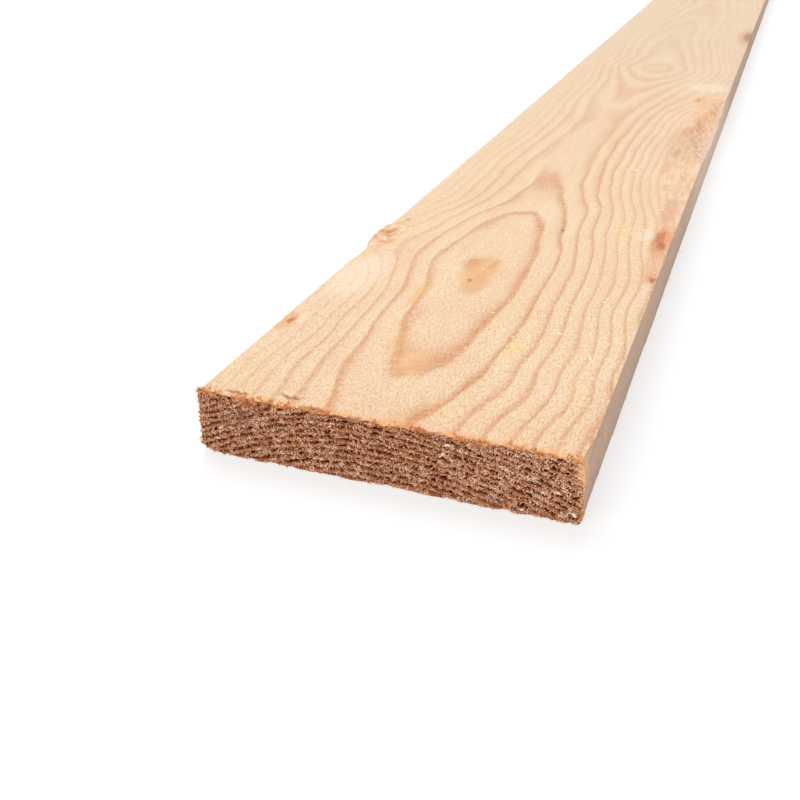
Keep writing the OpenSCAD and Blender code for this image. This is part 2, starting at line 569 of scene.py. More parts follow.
# %% [markdown]
# ## Frayed arris
# Where the saw came out of the wood it took bits of the arris along: small nicks round the top and bottom of
# each end, and a few longer tears in the top face by the near end, placed as the photo shows them. They go
# straight down or up, so they are cut after the push along the normal. What the materials and the scatters
# need to know of each point is then stored on the skin as named numbers.

# %% Fray the ends
Tear = namedtuple("Tear", "across along half_width half_length depth")
TEARS = [
    Tear(-33, 6.8, 4.2, 0.8, 0.5), Tear(-50, 3.6, 4.0, 0.8, 0.4), Tear(-46, 0.4, 3.0, 1.3, 1.3),
    Tear(-22, 2.4, 4.5, 0.9, 0.5), Tear(-9, 0.4, 2.2, 1.2, 0.8), Tear(14, 1.0, 5.0, 0.9, 0.5),
    Tear(31, 0.4, 3.4, 1.2, 1.0), Tear(50, 0.5, 5.0, 1.0, 0.6),
]
TEAR_RAGGED = 0.9
NICKS = [Bumps(1.0, (3.2, 40, 40), 13), Bumps(0.5, (1.1, 40, 40), 14)]
NICK_MOST, NICK_DOWN, NICK_UP = 1.4, 0.9, 0.7
# How far the fraying reaches in from an end, and how far down or up the arris itself goes
FRAY_REACH, ARRIS_REACH = 2.6, 1.6
# Faces that meet at more than this angle keep a crisp edge
CRISP = math.radians(40)

end_distance = np.minimum(from_near, from_far)
fray = 1 - ramp_up(end_distance, 0.0, FRAY_REACH)
nick = np.clip(bumpy(NICKS) - 0.1, 0, NICK_MOST)
near_top = ramp_up(up, TOP - ARRIS_REACH, TOP)
skin[:, 2] -= NICK_DOWN * nick * fray * near_top
skin[:, 2] += NICK_UP * nick * fray * (1 - ramp_up(up, UNDER, UNDER + ARRIS_REACH))
tear_mask = np.zeros(len(sawn))
torn_along = from_near + TEAR_RAGGED * roughness(sawn, (1.6, 40, 40), 16)
for tear in TEARS:
    spread = patch(across, torn_along, tear.across, tear.along, tear.half_width, tear.half_length) * near_top
    skin[:, 2] -= tear.depth * spread
    tear_mask = np.maximum(tear_mask, spread)
skin[:, 2] = np.maximum(skin[:, 2], UNDER)
board_mesh.vertices.foreach_set("co", (skin * MM).ravel())


def keep(name, values):
    """Stores one number for each point of the skin, for the materials and the scatters to read."""
    stored = board_mesh.attributes.new(name, "FLOAT", "POINT")
    stored.data.foreach_set("value", np.asarray(values, np.float32))


FINISH_NUMBERS = {"ring": ring_number, "wane": wane_mask, "torn": torn_mask, "tear": tear_mask}
for name, values in FINISH_NUMBERS.items():
    keep(name, values)
board_mesh.update()
board_mesh.shade_smooth()
board_mesh.set_sharp_from_angle(angle=CRISP)
print(f"{len(TEARS)} tears, numbers on the skin:", *FINISH_NUMBERS)


# %% [markdown]
# ## Patterns that the finishes share
# Colours could come from pictures, but a picture has a scale and an end of its own. Here each pattern is
# laid in true millimetres, measured across, from the near end and up. So a knot's place is typed just as
# it was read from the photo, and a fibre is as small as a real one.

# %% Shared patterns
def in_mm(tree):
    """Millimetres across, from the near end and up."""
    place = add(tree, "ShaderNodeTexCoord", out="Object")
    return add(tree, "ShaderNodeVectorMath", {0: place, 1: (1 / MM,) * 3, 2: (0, -NEAR, 0)},
               operation="MULTIPLY_ADD")


def grain_noise(tree, mm, size, detail=2.0, low=0.3, high=0.7):
    """Noise from 0 to 1 with bumps of this size in mm across, along and up."""
    scaled = add(tree, "ShaderNodeVectorMath", {0: mm, 1: tuple(1 / s for s in size)}, operation="MULTIPLY")
    level = add(tree, "ShaderNodeTexNoise", {"Vector": scaled, "Scale": 1.0, "Detail": detail})
    return add(tree, "ShaderNodeMapRange", {0: level, 1: low, 2: high})


def spot(tree, mm, centre, half_size, strength=1.0, edge=0.4):
    """A soft-edged patch: its strength in the middle and half of that at the half sizes given in mm."""
    moved = add(tree, "ShaderNodeVectorMath", {0: mm, 1: centre}, operation="SUBTRACT")
    shrink = tuple(1 / h for h in half_size)
    scaled = add(tree, "ShaderNodeVectorMath", {0: moved, 1: shrink}, operation="MULTIPLY")
    away = add(tree, "ShaderNodeVectorMath", {0: scaled}, out="Value", operation="LENGTH")
    return add(tree, "ShaderNodeMapRange", {0: away, 1: 1 - edge, 2: 1 + edge, 3: strength, 4: 0.0},
               interpolation_type="SMOOTHSTEP")


def coats(tree, base, layers, how="MIX"):
    """Lays coats over a base colour, each given as its share and its colour: a hex value or an output."""
    for share, shade in layers:
        under, over = (colour(c) if isinstance(c, str) else c for c in (base, shade))
        base = add(tree, "ShaderNodeMix", {0: share, 6: under, 7: over}, out=2, data_type="RGBA",
                   blend_type=how)
    return base


# %% [markdown]
# ## What the sawn faces share
# Bare softwood, sawn and left, has no film on it, so it is nearly matt. Its finish could be one large tree,
# but it reads better in coats: early wood with its fuzz, late wood, knots and stains, then the edges. All of
# these read the same few things, which are made once: the place in millimetres, the way to the nearer end,
# the slanting saw scratches, two sizes of fibre, and a ragged copy of the place for edges that stray.

# %% Ground of a sawn face
FUZZ, WISP, FIBRE = (0.5, 1.7, 0.5), (0.5, 3.6, 0.5), (0.8, 7.0, 0.8)
SAW_PITCH, SAW_SLANT = 2.3, math.radians(19)
SCRATCH = (14.0, SAW_PITCH / 2, 14.0)
# A ragged edge strays by up to half of this, in mm across, along and up
RAGGED = (3.5, 9.0, 3.5)
Ground = namedtuple("Ground", "tree mm place to_end scratches fuzz wisps ragged")


def sawn_ground(tree):
    """Makes what every coat of a sawn face reads."""
    mm = in_mm(tree)
    place = add(tree, "ShaderNodeSeparateXYZ", {0: mm}).node
    far_away = add(tree, "ShaderNodeMath", {0: LENGTH, 1: place.outputs["Y"]}, operation="SUBTRACT")
    to_end = add(tree, "ShaderNodeMath", {0: place.outputs["Y"], 1: far_away}, operation="MINIMUM")
    slanted = add(tree, "ShaderNodeMapping", {"Vector": mm, "Rotation": (0, 0, -SAW_SLANT)})
    scratches = grain_noise(tree, slanted, SCRATCH, 1.0, 0.42, 0.66)
    fuzz = grain_noise(tree, mm, FUZZ, 3.0, 0.32, 0.68)
    wisps = grain_noise(tree, mm, WISP, 3.0)
    wander = add(tree, "ShaderNodeTexNoise", {"Vector": mm, "Scale": 0.35, "Detail": 4.0}, out="Color")
    wander = add(tree, "ShaderNodeVectorMath", {0: wander, 1: (0.5, 0.5, 0.5)}, operation="SUBTRACT")
    ragged = add(tree, "ShaderNodeVectorMath", {0: wander, 1: RAGGED, 2: mm}, operation="MULTIPLY_ADD")
    return Ground(tree, mm, place, to_end, scratches, fuzz, wisps, ragged)


print(f"saw marks {SAW_PITCH} mm apart, slanting by {math.degrees(SAW_SLANT):.0f} degrees")

# %% [markdown]
# ## Late wood
# A year's growth starts pale and soft and ends in a thin band of dense, orange-brown late wood, which stops
# sharply at the year's edge. One colour ramp over the fraction of the ring number draws every band at once.
# Slow noises keep the bands from looking ruled. They are very faint at the left edge, weaker on the right,
# and softer and paler from each end to the middle, as the photo shows. The saw scratches cut pale lines
# through them.

# %% Late wood
LATE_BAND = [(0.0, 0.62), (0.045, 0.24), (0.10, 0.0), (0.54, 0.03), (0.70, 0.17), (0.82, 0.58), (0.91, 1.0),
             (1.0, 0.84)]
SOFT_BAND = [(0.0, 0.55), (0.16, 0.0), (0.40, 0.0), (0.88, 0.85), (1.0, 0.55)]
RING_SHAKE = 0.08


def late_wood_share(ground):
    """How far into late wood each point is, from 0 to 1."""
    tree, mm, to_end, x = ground.tree, ground.mm, ground.to_end, ground.place.outputs["X"]
    ring = add(tree, "ShaderNodeAttribute", out="Fac", attribute_name="ring")
    shake = grain_noise(tree, mm, (7.0, 32.0, 7.0), 0.0)
    shake = add(tree, "ShaderNodeMapRange", {0: shake, 3: -RING_SHAKE, 4: RING_SHAKE})
    ring = add(tree, "ShaderNodeMath", {0: ring, 1: shake}, operation="ADD")
    phase = add(tree, "ShaderNodeMath", {0: ring}, operation="FRACT")
    late = add(tree, "ShaderNodeValToRGB", {0: phase}, stops=LATE_BAND)
    soft = add(tree, "ShaderNodeValToRGB", {0: phase}, stops=SOFT_BAND)
    distant = add(tree, "ShaderNodeMapRange", {0: to_end, 1: 170, 2: 440, 3: 0.0, 4: 1.0})
    late = coats(tree, late, [(distant, soft)])

    year = add(tree, "ShaderNodeMath", {0: ring}, operation="FLOOR")
    strength = add(tree, "ShaderNodeTexWhiteNoise", {"W": year}, out="Value", noise_dimensions="1D")
    strength = add(tree, "ShaderNodeMapRange", {0: strength, 3: 0.8, 4: 1.0})
    patchy = add(tree, "ShaderNodeMapRange", {0: grain_noise(tree, mm, (10, 45, 10)), 3: 0.8, 4: 1.1})
    fading = add(tree, "ShaderNodeMapRange", {0: to_end, 1: 100, 2: 850, 3: 1.0, 4: 0.34})
    paler_left = add(tree, "ShaderNodeMapRange", {0: x, 1: -60, 2: -18, 3: 0.16, 4: 1.0})
    right_edge = add(tree, "ShaderNodeMapRange", {0: to_end, 1: 60, 2: 200, 3: 0.66, 4: 0.5})
    paler_right = add(tree, "ShaderNodeMapRange", {0: x, 1: 14, 2: 40, 3: 1.0, 4: right_edge})
    cut = add(tree, "ShaderNodeMapRange", {0: ground.scratches, 3: 1.0, 4: 0.7})
    for weight in (strength, patchy, fading, paler_left, paler_right, cut):
        late = add(tree, "ShaderNodeMath", {0: late, 1: weight}, operation="MULTIPLY", use_clamp=True)
    return late


print(f"late wood in bands of {len(LATE_BAND)} stops, soft ones of {len(SOFT_BAND)}")

# %% [markdown]
# ## Early wood and fuzz
# Early wood is cream, but never one cream: broad blotches, a blush of pink, straw-coloured stretches and
# thin streaks lie in it, greyer to the middle of the length and warm close to the ends. Over it lies a
# woolly fuzz, thickest by the ends, drawn as a painted highlight on its tips and a painted shade in its
# gaps. The late wood comes last, because it shows less where wisps lie across it.

# %% Early wood and fuzz
BLOTCH, BLUSH, STRAW, STREAK = (35.0, 90.0, 35.0), (13.0, 40.0, 13.0), (4.0, 26.0, 4.0), (1.6, 60.0, 1.6)


def fuzzy_wood(ground):
    """Colour of clear wood, with the painted highlight and painted shade of its fuzz, and its late wood."""
    tree, mm, to_end, wisps = ground.tree, ground.mm, ground.to_end, ground.wisps
    blotch = grain_noise(tree, mm, BLOTCH)
    blush = add(tree, "ShaderNodeMapRange", {0: grain_noise(tree, mm, BLUSH), 1: 0.3, 2: 1.0, 4: 0.7})
    straw = add(tree, "ShaderNodeMapRange", {0: grain_noise(tree, mm, STRAW, 3.0), 1: 0.35, 2: 1.0, 4: 0.6})
    streak = add(tree, "ShaderNodeMapRange", {0: grain_noise(tree, mm, STREAK, 3.0), 4: 0.35})
    faded = add(tree, "ShaderNodeMapRange", {0: to_end, 1: 150, 2: 800, 3: 0.0, 4: 0.6})
    warm = add(tree, "ShaderNodeMapRange", {0: to_end, 1: 10, 2: 45, 3: 0.24, 4: 0.0})
    early_shade = coats(tree, "F6DDBC", [
        (blotch, "F3D5B0"), (blush, "F3CAA8"), (straw, "F7DFB0"), (streak, "EBC196"), (faded, "DFCAB2"),
        (warm, "EAB67C")])
    late_shade = coats(tree, "CF7B3F", [(faded, "CFA070")])

    # Painted shade in the gaps of the fuzz and painted highlight on its tips, both weaker away from the ends
    fuzz_fades = add(tree, "ShaderNodeMapRange", {0: to_end, 1: 60, 2: 260, 3: 1.0, 4: 0.55})
    painted_gap_shade = add(tree, "ShaderNodeMapRange", {0: ground.fuzz, 1: 0.05, 2: 0.6, 3: 0.73, 4: 0.0})
    painted_gap_shade = add(tree, "ShaderNodeMath", {0: painted_gap_shade, 1: fuzz_fades}, operation="MULTIPLY")
    painted_tip_highlight = add(tree, "ShaderNodeMapRange", {0: wisps, 1: 0.45, 2: 0.95, 3: 0.0, 4: 0.5})
    painted_tip_highlight = add(tree, "ShaderNodeMath", {0: painted_tip_highlight, 1: fuzz_fades}, operation="MULTIPLY")
    bare = add(tree, "ShaderNodeMapRange", {0: wisps, 1: 0.3, 2: 1.0, 3: 0.95, 4: 0.68})
    late = add(tree, "ShaderNodeMath", {0: late_wood_share(ground), 1: bare}, operation="MULTIPLY")
    shaded = coats(tree, early_shade, [(painted_gap_shade, "E2C4AC")], "MULTIPLY")
    return coats(tree, shaded, [(painted_tip_highlight, "FFF2DA"), (late, late_shade)])


print(f"early wood: blotches {max(BLOTCH):.0f} mm long, streaks {max(STREAK):.0f} mm")

# %% [markdown]
# ## Knots and stains
# Knots could be modelled one by one, but on a sawn face they are only wood of another colour. So each is a
# few soft-edged stains laid over each other, from its pale halo to its dark heart. Sap and smears are
# stains too. Their edges stray, and fibres show through them. The wane and the torn knot are mottled by a
# noise of their own. The stains past 1.1 m from the near end are made up, because the photo ends there.

# %% Knots and stains
# How far below the top face a stain reaches
STAIN_DEPTH = 9
WANE_MOTTLE = [(0.0, "E0A27A"), (0.35, "EDBC92"), (0.6, "F4CEA8"), (1.0, "FBE2C6")]
TORN_MOTTLE = [(0.0, "C67E4E"), (0.35, "E8AE80"), (0.6, "F4C8A0"), (1.0, "FBE0C6")]

Stain = namedtuple("Stain", "across along half_width half_length shade strength")
STAINS = [
    # The small knot inside the first eye, its pin hole, and a dark speck further on
    Stain(-7.2, 140, 6.0, 13, "E4AC72", 0.55),
    Stain(-8.0, 132, 6.4, 11, "E8B47C", 0.5),
    Stain(-5.4, 120, 5.0, 11, "E4A866", 0.6),
    Stain(-3.6, 144, 1.3, 6.0, "D08C50", 0.45),
    Stain(-8.6, 124, 0.9, 1.3, "8A5230", 0.7),
    Stain(14, 198, 0.6, 2.0, "8A6A4A", 0.7),
    # Yellow sap beside the first eye and near the right knots
    Stain(-23, 104, 1.8, 16, "EBB660", 0.5),
    Stain(-16, 57, 3.0, 9.0, "E8B062", 0.4),
    Stain(24, 66, 1.8, 7.0, "F3D070", 0.55),
    Stain(40, 207, 2.6, 11, "EFCE88", 0.55),
    # Pale wood below the torn knot, and brown smears along the right edge
    Stain(-52, 114, 9.0, 24, "FBEBD4", 0.5),
    Stain(49, 286, 1.8, 6.0, "D8B494", 0.4),
    Stain(55, 284, 1.8, 6.0, "D8B494", 0.4),
    Stain(56, 246, 3.4, 24, "D9A282", 0.6),
    # The tip of the first eye
    Stain(-5, 44, 6.0, 11, "F6C892", 0.4),
    # Knots in the left edge
    Stain(-60.0, 61, 4.0, 8.0, "EBA874", 0.6),
    Stain(-58.6, 63, 1.5, 2.8, "C8602C", 0.85),
    Stain(-55.0, 65, 2.0, 4.0, "F8E3C6", 0.5),
    Stain(-58, 190, 4.0, 8.0, "F2CCA8", 0.5),
    Stain(-57, 188, 1.3, 2.6, "C08050", 0.45),
    # Knots in the right edge, with pale wood beside them
    Stain(58.0, 200, 4.4, 20, "DC9460", 0.85),
    Stain(56.6, 206, 1.9, 9.0, "B4623A", 0.6),
    Stain(58.8, 194, 2.0, 7.0, "A25028", 0.62),
    Stain(59.5, 152, 2.6, 7.0, "D89868", 0.7),
    Stain(60.5, 150, 1.3, 2.6, "A85A34", 0.8),
    Stain(58.5, 170, 3.4, 18, "E4AE84", 0.55),
    Stain(50.5, 206, 3.4, 8.0, "FCF1E0", 0.36),
    # The whorl by the wane
    Stain(46, 562, 15, 15, "F8E6CE", 0.5),
    Stain(55, 490, 9.0, 44, "F0B680", 0.45),
    Stain(45, 515, 4.4, 13, "E4A672", 0.5),
    Stain(44, 513, 1.6, 6.0, "CC8248", 0.5),
    Stain(47, 382, 9.0, 44, "C8A07C", 0.36),
    Stain(52, 440, 3.4, 14, "DC9660", 0.55),
    Stain(47.5, 416, 2.6, 12, "DC9C70", 0.5),
    Stain(46.8, 361, 2.2, 9.0, "D8965F", 0.5),
    Stain(58.5, 359, 1.5, 5.0, "D2A078", 0.45),
    Stain(44.5, 325, 2.0, 14, "DCA68A", 0.5),
    # Knots and a smudge further on
    Stain(59, 825, 8.0, 48, "CFA07C", 0.6),
    Stain(60, 825, 4.0, 26, "A4643C", 0.65),
    Stain(7, 980, 13, 30, "D4B295", 0.3),
    Stain(-52, 1236, 9.0, 17, "E0AC7C", 0.5),
    Stain(-52, 1236, 6.4, 11, "9A5028", 0.85),
    Stain(-52, 1236, 4.2, 7.5, "BE7A48", 0.8),
    Stain(-52.6, 1237, 1.2, 2.0, "7A3C1C", 0.7),
    Stain(34, 1465, 8.0, 15, "E0AC7C", 0.5),
    Stain(34, 1465, 5.6, 9.0, "9A5028", 0.85),
    Stain(34, 1465, 3.6, 6.0, "BE7A48", 0.8),
    Stain(34.5, 1464, 1.1, 1.8, "7A3C1C", 0.7),
]

def stained_wood(ground, wood):
    """Lays the wane, the torn knot and all the stains over clear wood."""
    tree, mm, ragged = ground.tree, ground.mm, ground.ragged
    mottle = grain_noise(tree, mm, (2.6, 9.0, 2.6), 4.0)
    mottle = add(tree, "ShaderNodeValToRGB", {0: mottle}, stops=WANE_MOTTLE)
    crumbly = grain_noise(tree, mm, (3.0, 5.5, 3.0), 3.0)
    crumbly = add(tree, "ShaderNodeValToRGB", {0: crumbly}, stops=TORN_MOTTLE)
    wane = add(tree, "ShaderNodeAttribute", out="Fac", attribute_name="wane")
    by_wane = spot(tree, ragged, (60, 400, TOP), (17, 150, STAIN_DEPTH), 0.62, 0.35)
    wane = add(tree, "ShaderNodeMath", {0: wane, 1: by_wane}, operation="MAXIMUM")
    torn = add(tree, "ShaderNodeAttribute", out="Fac", attribute_name="torn")
    wood = coats(tree, wood, [(wane, mottle), (torn, crumbly)])
    grainy = add(tree, "ShaderNodeMapRange", {0: ground.wisps, 3: 0.7, 4: 1.2})
    for stain in STAINS:
        share = spot(tree, ragged, (stain.across, stain.along, TOP),
                     (stain.half_width, stain.half_length, STAIN_DEPTH), stain.strength)
        share = add(tree, "ShaderNodeMath", {0: share, 1: grainy}, operation="MULTIPLY", use_clamp=True)
        wood = coats(tree, wood, [(share, stain.shade)])
    return wood


print(len(STAINS), "stains")

# %% [markdown]
# ## Edges of the sawn faces
# The two sides carry a painted shade, a little darker and greyer than the top, and upright kerf marks. The
# strip under the wane is a pale painted light, and the fresh wood at the splintered corner is pale. Round
# each end the rim is a warm painted glow, as if light came through its fibres, and the tears in it are dark.
# Last, fibres, wisps and scratches raise the surface by about a tenth of a millimetre. They are far finer
# than the skin's cells, so they are a bump.

# %% Edges of the sawn faces
KERF, FLUFF, FLUFF_REACH = (3.0, 1.1, 9.0), (1.2, 2.6, 1.2), 2.2
# The splintered corner of the near end
SPLINTER = (RIGHT, 0, TOP - 3)
FIBRE_RISE, WISP_RISE, SCRATCH_RISE = 0.10, 0.14, 0.05


def edged_wood(ground, wood):
    """Lays the painted shade of the sides, the painted light under the wane, the splintered corner, the
    painted glow of the rims and the tears.
    """
    tree, mm, ragged = ground.tree, ground.mm, ground.ragged
    sideways = add(tree, "ShaderNodeMath", {0: ground.place.outputs["X"]}, operation="ABSOLUTE")
    # Painted shade: a darker, greyer coat on both long sides
    side = add(tree, "ShaderNodeMapRange", {0: sideways, 1: RIGHT - 0.6, 2: RIGHT - 0.1, 3: 0.0, 4: 0.40})
    torn = add(tree, "ShaderNodeAttribute", out="Fac", attribute_name="torn")
    whole = add(tree, "ShaderNodeMapRange", {0: torn, 3: 1.0, 4: 0.1})
    side = add(tree, "ShaderNodeMath", {0: side, 1: whole}, operation="MULTIPLY")
    kerf = grain_noise(tree, mm, KERF, 2.0, 0.40, 0.72)
    kerf = add(tree, "ShaderNodeMath", {0: side, 1: kerf}, operation="MULTIPLY")
    # Painted light: a pale coat on the side strip under the wane
    painted_light_under_wane = spot(tree, ragged, (RIGHT, 425, THICK / 2), (4.0, 130, 16), 0.75)
    fresh = spot(tree, mm, SPLINTER, (3.0, 4.5, 7.0), 0.9)

    # Painted glow: a warm orange coat round each end, standing in for light through the fibres
    fluff = grain_noise(tree, mm, FLUFF, 3.0)
    fluff = add(tree, "ShaderNodeMapRange", {0: fluff, 3: -FLUFF_REACH, 4: FLUFF_REACH})
    rim = add(tree, "ShaderNodeMath", {0: ground.to_end, 1: fluff}, operation="ADD")
    rim = add(tree, "ShaderNodeMapRange", {0: rim, 1: 0.4, 2: 4.0, 3: 0.85, 4: 0.0},
              interpolation_type="SMOOTHSTEP")
    fuzzy = add(tree, "ShaderNodeMapRange", {0: ground.fuzz, 3: 0.5, 4: 1.0})
    rim = add(tree, "ShaderNodeMath", {0: rim, 1: fuzzy}, operation="MULTIPLY")
    tear = add(tree, "ShaderNodeAttribute", out="Fac", attribute_name="tear")
    tear = add(tree, "ShaderNodeMapRange", {0: tear, 1: 0.15, 2: 0.6, 3: 0.0, 4: 0.8})
    return coats(tree, wood, [
        (side, "CBAEA6"), (kerf, "A98678"), (painted_light_under_wane, "F6D9C4"), (fresh, "F8CFA2"), (rim, "FAAE70"),
        (tear, "A65A2A")])


def sawn_face():
    """Rough-sawn softwood: cream and orange-brown, matt, with raised fibres."""
    made, tree, surface = new_material("rough_sawn_softwood")
    ground = sawn_ground(tree)
    wood = edged_wood(ground, stained_wood(ground, fuzzy_wood(ground)))
    fibres = grain_noise(tree, ground.mm, FIBRE, 3.0)
    height = add(tree, "ShaderNodeMath", {0: fibres, 1: FIBRE_RISE}, operation="MULTIPLY")
    for pattern, rise in ((ground.wisps, WISP_RISE), (ground.scratches, SCRATCH_RISE)):
        height = add(tree, "ShaderNodeMath", {0: pattern, 1: rise, 2: height}, operation="MULTIPLY_ADD")
    bump = add(tree, "ShaderNodeBump", {"Height": height, "Distance": MM, "Strength": 0.8})
    surface.inputs["Roughness"].default_value = 0.8
    tree.links.new(wood, surface.inputs["Base Color"])
    tree.links.new(bump, surface.inputs["Normal"])
    return made


board_mesh.materials.append(sawn_face())
print("material:", board_mesh.materials[SAWN_FACE].name)

# %% [markdown]
# ## Finish of the ends
# The ends show the wood end-on. It drinks in light and looks brown: the late wood lies dark in its grooves,
# the early wood is a tan felt, and the rim is warmer. A painted shade lies under the top rim and between the
# tufts. A grey smear, some matted stretches and the fresh splintered corner lie over that. The felt's own
# fibres come later, as real geometry, so this material only has to give the ground that they stand on.

# %% End grain material
END_BAND = [(0.0, "B07252"), (0.12, "E0A480"), (0.36, "D08E66"), (0.54, "7A3C1E"), (0.66, "3C1406"),
            (0.92, "3C1406"), (1.0, "8A4E30")]
PAINTED_TUFT_SHADE_STOPS = [(0.0, "805C48"), (0.4, "CDB6A8"), (0.75, "FFFFFF")]
SPLINTER_SHADES = [(0.0, "D89A6A"), (0.5, "F2BE90"), (1.0, "FFE2C2")]
TUFT, MATTED, SPLINTERS = (0.8, 0.8, 0.8), (9, 9, 4), (0.5, 4.0, 5.0)
TUFT_RISE, TUFT_SHARE = 0.3, 0.9


def end_grain():
    """Torn end grain: brown and fully matt, because its open fibres swallow the light."""
    made, tree, surface = new_material("torn_end_grain")
    mm = in_mm(tree)
    place = add(tree, "ShaderNodeSeparateXYZ", {0: mm}).node
    x, z = place.outputs["X"], place.outputs["Z"]
    ring = add(tree, "ShaderNodeAttribute", out="Fac", attribute_name="ring")
    shake = grain_noise(tree, mm, TUFT)
    shake = add(tree, "ShaderNodeMapRange", {0: shake, 3: -RING_SHAKE, 4: RING_SHAKE})
    ring = add(tree, "ShaderNodeMath", {0: ring, 1: shake}, operation="ADD")
    phase = add(tree, "ShaderNodeMath", {0: ring}, operation="FRACT")
    tuft = grain_noise(tree, mm, TUFT, 3.0)
    wood = add(tree, "ShaderNodeValToRGB", {0: phase}, stops=END_BAND)
    # Painted shade between the tufts: the felt is darkened where the tuft noise is low
    painted_tuft_shade = add(tree, "ShaderNodeValToRGB", {0: tuft}, stops=PAINTED_TUFT_SHADE_STOPS)
    splinters = add(tree, "ShaderNodeValToRGB", {0: grain_noise(tree, mm, SPLINTERS)}, stops=SPLINTER_SHADES)

    sideways = add(tree, "ShaderNodeMath", {0: x}, operation="ABSOLUTE")
    rim_side = add(tree, "ShaderNodeMapRange", {0: sideways, 1: RIGHT - 2.4, 2: RIGHT - 0.4, 3: 0.0, 4: 0.6})
    rim_under = add(tree, "ShaderNodeMapRange", {0: z, 1: 0.3, 2: 2.0, 3: 0.6, 4: 0.0})
    # Painted shade: a darker band under the top rim of each end
    painted_shade_under_rim = add(tree, "ShaderNodeMapRange", {0: z, 1: TOP - 4.0, 2: TOP - 1.0, 3: 0.0, 4: 0.35})
    smear = spot(tree, mm, (-47, 0, 15), (9.0, 40, 3.4), 0.6, 0.5)
    matted = grain_noise(tree, mm, MATTED)
    matted = add(tree, "ShaderNodeMapRange", {0: matted, 1: 0.5, 2: 1.0, 3: 0.0, 4: 0.35})
    fresh = spot(tree, mm, SPLINTER, (3.4, 40, 6.5), 0.9, 0.35)
    wood = coats(tree, wood, [
        (smear, "B08A7E"), (painted_shade_under_rim, "8A5236"), (rim_side, "DB9462"), (rim_under, "D99A6C"),
        (matted, "CC8E66")])
    wood = coats(tree, wood, [(TUFT_SHARE, painted_tuft_shade)], "MULTIPLY")
    wood = coats(tree, wood, [(fresh, splinters)])
    bump = add(tree, "ShaderNodeBump", {"Height": tuft, "Distance": TUFT_RISE * MM, "Strength": 0.8})
    surface.inputs["Roughness"].default_value = 0.9
    surface.inputs["Specular IOR Level"].default_value = 0.0
    tree.links.new(wood, surface.inputs["Base Color"])
    tree.links.new(bump, surface.inputs["Normal"])
    return made


board_mesh.materials.append(end_grain())
print("material:", board_mesh.materials[TORN_END].name)


# %% [markdown]
# ## Scattering
# The saw leaves thousands of fibres: a felt of short curls over the ends, a fringe round their rims, loose
# ones along the long edges, a few long strays, and flecks of sawdust on the top. One at a time they are
# nothing, so Geometry Nodes scatters them. A number on the skin says where a kind grows and how thickly, and
# each fibre or chip gets a tone of its own.

# %% What every scatter does
def new_scatter(name, sizes):
    """A scatter tree with the skin coming in, the pieces going out and an input for each named size."""
    tree = bpy.data.node_groups.new(name, "GeometryNodeTree")
    tree.interface.new_socket("Skin", in_out="INPUT", socket_type="NodeSocketGeometry")
    for label, kind in sizes.items():
        tree.interface.new_socket(label, in_out="INPUT", socket_type="NodeSocket" + kind)
    tree.interface.new_socket("Pieces", in_out="OUTPUT", socket_type="NodeSocketGeometry")
    return tree, tree.nodes.new("NodeGroupInput").outputs


def points_on_skin(tree, sizes):
    """Points over the skin, as thick as its own named number says."""
    weight = add(tree, "GeometryNodeInputNamedAttribute", {"Name": sizes["Where"]}, data_type="FLOAT")
    density = add(tree, "ShaderNodeMath", {0: weight, 1: sizes["Density"]}, operation="MULTIPLY")
    return add(tree, "GeometryNodeDistributePointsOnFaces", {
        "Mesh": sizes["Skin"], "Density": density, "Seed": sizes["Seed"]}).node


def grow(tree, sizes, shapes, rotation, scale, spread_out, palest):
    """Puts a shape on each scattered point, gives it a tone up to the palest and makes it all one mesh."""
    placed = add(tree, "GeometryNodeInstanceOnPoints", {
        "Points": spread_out.outputs["Points"], "Instance": shapes, "Pick Instance": True,
        "Rotation": rotation, "Scale": scale})
    tone = add(tree, "FunctionNodeRandomValue", {3: palest, "Seed": sizes["Seed"]}, out=1, data_type="FLOAT")
    toned = add(tree, "GeometryNodeStoreNamedAttribute", {"Geometry": placed, "Name": "tone", "Value": tone},
                data_type="FLOAT", domain="INSTANCE")
    whole = add(tree, "GeometryNodeRealizeInstances", {"Geometry": toned})
    smooth = add(tree, "GeometryNodeSetShadeSmooth", {0: whole})
    coloured = add(tree, "GeometryNodeSetMaterial", {"Geometry": smooth, "Material": sizes["Material"]})
    add(tree, "NodeGroupOutput", {"Pieces": coloured})


# %% [markdown]
# ## Fibres
# A fibre is a thin, bent spike. It points out of the wood, along a pull of its kind and a little astray, and
# it is turned about itself by chance. Hair curves could do it too, but spikes are plain meshes, which any
# other program can read.

# %% Fibre scatter
# A spike's tip is this share of its foot's width, and the bent ones sink by this share of their bend
TIP_SHARE, SINK_SHARE = 0.4, 0.6
# Three spikes, from nearly straight to fully curled
BENDS = (0.25, 0.6, 1.0)
SMALLEST, LARGEST = 0.45, 1.3
# Where fibres grow thinly they are torn down into the wood, and their palest tone is held to this as a
# painted shade
SHADED_THIN_TONE = 0.25


